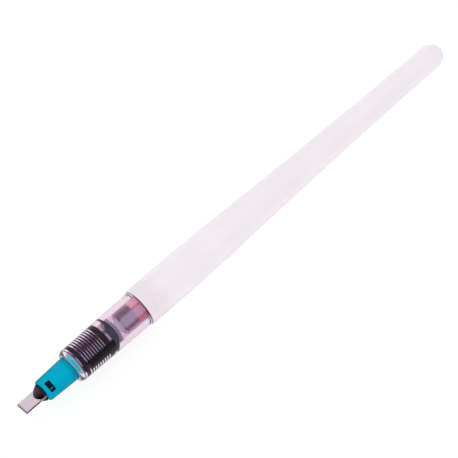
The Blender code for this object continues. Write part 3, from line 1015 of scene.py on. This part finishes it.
def collector_keel(material):
    """The solid, finely ribbed strip along one side of the fins."""
    bm = bmesh.new()
    turn_from, turn_to = KEEL_TURNS
    count = 16
    rings = []
    groove, crest = KEEL_GROOVE_R, KEEL_RIB_R
    z = FRONT_FLANGE[1] + 0.3
    while z < DISC[0] + 0.3:
        for dz, r in ((0.0, groove), (0.12, crest), (0.34, crest), (0.46, groove)):
            end = KEEL_REAR_TURN if z > REAR_FLANGE[0] else turn_to
            turns = [turn_from + (end - turn_from) * k / count for k in range(count + 1)]
            ring = [bm.verts.new(at(z + dz, r, t)) for t in turns]
            ring += [bm.verts.new(at(z + dz, KEEL_INSIDE_R, t)) for t in reversed(turns)]
            rings.append(ring)
        z += FIN_PITCH
    skin(bm, rings)
    put(new_object("collector_keel", bm, [material]), "nib_unit", "feed_black")


SECTION_FRONT = 19.4
LIP_REAR = 21.1
LIP_R = 5.63
SHOULDER = 47.3
NECK_REAR = 53.5
NECK_R = 4.5
BORE_R = 4.25  # round the collector
BORE_STEP = 37.0
REAR_BORE_R = 4.05  # round the cartridge


def section_shell(materials):
    """Clear thick-walled section with its lip, shoulder and threaded neck.

    materials are those of the body, of the lip and of the lip's flat face.
    """
    lip = list(reversed(arc(LIP_REAR, LIP_R, SECTION_FRONT, 4.75, 12)))
    profile = [(SECTION_FRONT, BORE_R + 0.1), *lip]
    slots = [2] + [1] * (len(lip) - 1)
    start, run = LIP_REAR + 0.2, SHOULDER - 0.3 - LIP_REAR - 0.2
    sides = [(start + run * i / 8, 5.64 + 0.32 * i / 8) for i in range(9)]
    sides += [(SHOULDER - 0.05, 5.955), (SHOULDER, 5.91), (SHOULDER, 5.85)]
    neck = [(SHOULDER, NECK_R + 0.12), (SHOULDER + 0.12, NECK_R)]
    neck += [(NECK_REAR - 0.3, NECK_R), (NECK_REAR - 0.2, NECK_R), (NECK_REAR, NECK_R - 0.2)]
    bore = [(NECK_REAR, REAR_BORE_R + 0.1), (NECK_REAR - 0.1, REAR_BORE_R)]
    bore += [(NECK_REAR - 0.3, REAR_BORE_R), (BORE_STEP + 0.2, REAR_BORE_R)]
    bore += [(BORE_STEP + 0.05, REAR_BORE_R), (BORE_STEP, REAR_BORE_R + 0.05)]
    bore += [(BORE_STEP, BORE_R), (BORE_STEP - 0.2, BORE_R)]
    bore += [(SECTION_FRONT + 0.3, BORE_R), (SECTION_FRONT + 0.1, BORE_R)]
    profile += [*sides, *neck, *bore]
    slots += [0] * (len(profile) - len(slots) - 1) + [2]
    shell = lathe("clear_section", profile, materials, closed=True, slots=slots)
    put(shell, "section", "section_clear", "section_shell")
    root = NECK_R - 0.05
    rib = thread_rib("section_thread", 48.6, 2.5, r_root=root, r_crest=5.0, material=materials[0])
    put(rib, "section", "section_clear")


FLANGE_FRONT = 36.2
FLANGE_R = 4.2
FLANGE_STEP = 36.9  # to a smaller radius
FLANGE_REAR = 37.4
TUBE_R = 1.6
TUBE_REAR = 44.0


def cartridge_nipple(material):
    """A stepped flange, and the tube that the cartridge is pushed onto."""
    profile = [(FLANGE_FRONT, STEM_BORE), (FLANGE_FRONT, FLANGE_R - 0.05)]
    profile += [(FLANGE_FRONT + 0.05, FLANGE_R), (FLANGE_STEP - 0.08, FLANGE_R)]
    profile += [(FLANGE_STEP, FLANGE_R - 0.1), (FLANGE_STEP, 3.1), (FLANGE_REAR - 0.08, 3.1)]
    profile += [(FLANGE_REAR, 3.0), (FLANGE_REAR, TUBE_R + 0.1), (FLANGE_REAR + 0.1, TUBE_R)]
    profile += [(TUBE_REAR - 0.7, TUBE_R), (TUBE_REAR, TUBE_R - 0.25), (TUBE_REAR, STEM_BORE)]
    nipple = lathe("nipple", profile, [material], closed=True, steps=96)
    put(nipple, "section", "nipple_clear", "cartridge_nipple")


CARTRIDGE_FRONT = 38.9
CARTRIDGE_REAR = 96.0
CARTRIDGE_R = 3.85
CARTRIDGE_NECK_R = 2.45
CARTRIDGE_MOUTH_R = 2.25


def cartridge(wall, rim, mouth, ink):
    """The tube with its narrow neck, its mouth ring, the ink, and the pushed-in seal."""
    neck, mouth_r, tail = CARTRIDGE_NECK_R, CARTRIDGE_MOUTH_R, CARTRIDGE_REAR - 1.2
    outer = [(CARTRIDGE_FRONT, mouth_r), (CARTRIDGE_FRONT, neck - 0.1)]
    outer += [(CARTRIDGE_FRONT + 0.1, neck), (CARTRIDGE_FRONT + 0.45, neck)]
    outer += arc(39.4, neck + 0.05, 39.9, CARTRIDGE_R, 8, along_first=False)
    outer += arc(tail, CARTRIDGE_R, CARTRIDGE_REAR, CARTRIDGE_R - 1.2, 6)
    outer.append((CARTRIDGE_REAR, 0.0))
    inner = [(95.3, 0.0), (94.6, 2.6), (93.6, 3.35), (40.4, 3.35), (39.85, mouth_r)]
    slots = [1] * 4 + [0] * (len(outer) + len(inner) - 4)
    tube = lathe("cartridge_wall", [*outer, *inner], [wall, rim], True, 96, slots)
    put(tube, "cartridge", "cartridge_grey", "cartridge_tube")
    profile = [(38.95, 1.8), (38.95, 2.1), (39.05, 2.22), (39.75, 2.22), (40.45, 3.25)]
    profile += [(41.3, 3.25), (41.45, 3.1), (41.45, 1.8)]
    ring = lathe("mouth_ring", profile, [mouth], closed=True, steps=96)
    put(ring, "cartridge", "mouth_ring_brown", "cartridge_mouth_ring")
    front = [(45.2, 0.0), (45.0, 1.2), (44.7, 2.4), (44.4, 3.1), (44.3, 3.25)]
    rear = [(84.6, 3.25), (84.9, 2.7), (84.4, 1.2), (84.2, 0.0)]
    charge = lathe("ink", [*front, *rear], [ink], steps=96)
    put(charge, "cartridge", "ink_red", "ink_charge")
    profile = [(87.5, 0.0), (87.5, 1.4), (87.6, 1.5), (88.2, 1.5), (88.3, 1.4), (88.3, 0.0)]
    seal = lathe("seal_disc", profile, [mouth], steps=64)
    put(seal, "cartridge", "mouth_ring_brown", "cartridge_seal_disc")


RING_R = 5.62
RING_WIDTH = 0.6


def seal_ring(material):
    """A thin ring with a round rim."""
    outline = [(0.0, 4.6), (0.0, RING_R - 0.17), (0.1, RING_R - 0.05), (RING_WIDTH / 2, RING_R)]
    outline += [(RING_WIDTH - z, r) for z, r in reversed(outline[:3])]
    profile = [(SHOULDER + 0.1 + z, r) for z, r in outline]
    ring = lathe("joint_ring", profile, [material], closed=True)
    put(ring, "seal_ring", "seal_rubber", "barrel_seal_ring")


BARREL_FRONT = 47.75
BARREL_R = 6.4
TAIL_FRONT = 172.0  # where the round tail starts
TAIL_R = 3.97
BARREL_REAR = 177.0
BARREL_STATIONS = (
    (BARREL_FRONT, BARREL_R),
    (56.0, BARREL_R),
    (66.0, 6.33),
    (82.0, 5.97),
    (101.6, 5.27),
    (125.0, 4.64),
    (145.0, 4.2),
    (160.0, 4.01),
    (TAIL_FRONT, TAIL_R),
)
GROOVES = 8
GROOVE_FIRST = 48.5
GROOVE_PITCH = 0.807
GROOVE_DEPTH = 0.1
MOUTH_R = 5.25
BARREL_WALL = 1.15


def barrel_profile():
    """From the mouth's inner edge along the outside to the tail and back inside."""
    points = [(48.05, 5.3), (48.05, 5.68), (BARREL_FRONT, 5.7), (BARREL_FRONT, 6.25)]
    points += [(BARREL_FRONT + 0.05, BARREL_R - 0.06), (BARREL_FRONT + 0.18, BARREL_R - 0.01)]
    for i in range(GROOVES):
        z = GROOVE_FIRST + i * GROOVE_PITCH
        for dz, depth in ((-0.2, 0.0), (-0.1, 0.7), (0.0, 1.0), (0.1, 0.7), (0.2, 0.0)):
            points.append((z + dz, BARREL_R - GROOVE_DEPTH * depth))
    start, count = 54.6, 90
    for i in range(count + 1):
        z = start + (TAIL_FRONT - start) * i / count
        points.append((z, smooth_through(BARREL_STATIONS, z)))
    points += arc(TAIL_FRONT, TAIL_R, BARREL_REAR, 0.0, 20)[1:-1]
    points.append((BARREL_REAR, 0.0))
    points += [(173.4, 0.0), (172.8, 1.5), (170.4, 2.85)]
    front, rear, count = 56.0, 170.0, 12
    for i in range(count, -1, -1):
        z = front + (rear - front) * i / count
        points.append((z, min(4.6, smooth_through(BARREL_STATIONS, z) - BARREL_WALL)))
    return [*points, (54.5, MOUTH_R), (48.15, MOUTH_R)]


def barrel(material):
    shell = lathe("barrel", barrel_profile(), [material], closed=True)
    put(shell, "barrel", "barrel_ivory", "barrel_shell")
    root = MOUTH_R + 0.15
    rib = thread_rib("barrel_thread", 49.35, 1.5, r_root=root, r_crest=4.75, material=material)
    put(rib, "barrel", "barrel_ivory")


def studio_floor():
    bm = bmesh.new()
    bmesh.ops.create_grid(bm, x_segments=1, y_segments=1, size=3.0)
    floor = new_object("floor", bm, [paper_floor()])
    floor.location.z = cad_box[0][2] - 0.05 * MM


LIGHT_FROM = Vector((-0.3, 0.35, 1.0))
LIGHT_DISTANCE = 1.6


def key_light():
    """One wide, soft lamp."""
    light = bpy.data.lights.new("key", "AREA")
    light.shape = "DISK"
    light.size = 2.0
    light.energy = 6.0
    lamp = bpy.data.objects.new("key", light)
    bpy.context.scene.collection.objects.link(lamp)
    lamp.location = LIGHT_FROM.normalized() * LIGHT_DISTANCE
    lamp.rotation_mode = "QUATERNION"
    lamp.rotation_quaternion = LIGHT_FROM.to_track_quat("Z", "Y")


def studio_world():
    """A pale room, a little brighter round the horizon than overhead."""
    world = bpy.data.worlds.new("studio")
    bpy.context.scene.world = world
    world.use_nodes = True
    tree = world.node_tree
    background = tree.nodes["Background"]
    coords = tree.nodes.new("ShaderNodeTexCoord")
    split = tree.nodes.new("ShaderNodeSeparateXYZ")
    ramp = tree.nodes.new("ShaderNodeValToRGB")
    low, high = ramp.color_ramp.elements
    low.position, low.color = 0.1, linear(0.95)
    high.position, high.color = 0.8, linear(0.75)
    tree.links.new(coords.outputs["Generated"], split.inputs[0])
    tree.links.new(split.outputs["Z"], ramp.inputs["Fac"])
    tree.links.new(ramp.outputs["Color"], background.inputs["Color"])


def camera():
    """From above and the nib's end, with the pen slanting across the picture."""
    axis = Vector((1, 0, 0))
    normal = Vector((0, -math.sin(ROLL), math.cos(ROLL)))
    back = math.cos(TILT) * normal - math.sin(TILT) * axis
    across = Vector((0, -math.cos(ROLL), -math.sin(ROLL)))
    along = (axis - axis.dot(back) * back).normalized()
    right = math.cos(PICTURE_ANGLE) * along + math.sin(PICTURE_ANGLE) * across
    up = math.sin(PICTURE_ANGLE) * along - math.cos(PICTURE_ANGLE) * across
    cam = bpy.data.objects.new("camera", bpy.data.cameras.new("camera"))
    cam.data.lens = LENS
    cam.data.clip_start = 0.01
    aim = at(AIM) + (AIM_ACROSS * right + AIM_UP * up) * MM
    place = Matrix((right, up, back)).transposed().to_4x4()
    place.translation = aim + back * DISTANCE
    cam.matrix_world = place
    bpy.context.scene.collection.objects.link(cam)
    bpy.context.scene.camera = cam


def build():
    bpy.context.scene.view_settings.view_transform = "Standard"
    camera()
    studio_floor()
    studio_world()
    key_light()
    metal, edge = steel_face(), steel_edge()
    dome = clamp_plastic()
    fins = dark_plastic("fins_dark", FIN_COLOUR)
    # Painted light and shade round the core between the fins
    core = coloured_by_turn("core_pale", CORE_SHADE_BANDS)
    keel = coloured_by_turn("keel_dark", KEEL_BANDS)
    top = PLATE_GAP + PLATE_THICK
    nib_plate("plate_upper", PLATE_GAP, top, "nib_plate_upper", metal, edge)
    nib_plate("plate_lower", -top, -PLATE_GAP, "nib_plate_lower", metal, edge)
    nib_clamp("clamp_upper", 1, "nib_clamp_upper", dome)
    nib_clamp("clamp_lower", -1, "nib_clamp_lower", dome)
    rib = dark_plastic("rib_blue", RIB_COLOUR)
    tab = dark_plastic("latch_dark", LATCH_COLOUR)
    latch("latch_upper", LATCH_TURN, tab, rib)
    latch("latch_lower", LATCH_TURN + math.pi, tab, rib)
    nib_collar(collar_plastic())
    disc = dark_plastic("disc_dark", DISC_COLOUR)
    front = dark_plastic("front_ring_blue", FRONT_RING_COLOUR)
    # Painted glow on the front ring's face
    face = painted_glow("front_face_pale", FRONT_FACE_COLOUR, 0.35)
    boss = dark_plastic("boss_grey", BOSS_COLOUR)
    # Painted light and shade round the gap ahead of the rear disc
    gap = coloured_by_turn("gap_pale", GAP_SHADE_BANDS)
    ink_collector([fins, core, disc, front, face, gap], keel, boss)
    clear = clear_plastic("section_clear", CLEAR_TINT)
    lip = clear_plastic("section_lip", LIP_TINT, clearness=0.95)
    # Painted glow on the lip's flat face
    section_shell([clear, lip, painted_glow("lip_face", LIP_FACE_COLOUR, 0.2)])
    cartridge_nipple(nipple_plastic())
    # Painted glow on the cartridge's rim, mouth ring and seal disc
    rim = painted_glow("rim_pale", RIM_COLOUR, 0.5)
    mouth = painted_glow("mouth_pale", MOUTH_COLOUR, 0.5)
    cartridge(cartridge_plastic(), rim, mouth, ink_material())
    # The joint ring's colour round it is painted light and shade
    seal_ring(coloured_by_turn("ring_brown", RING_SHADE_BANDS, roughness=(0.45, 0.6)))
    barrel(barrel_plastic())
    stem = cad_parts["feed_stem"]
    for slot in stem.material_slots:
        slot.material = fins


build()
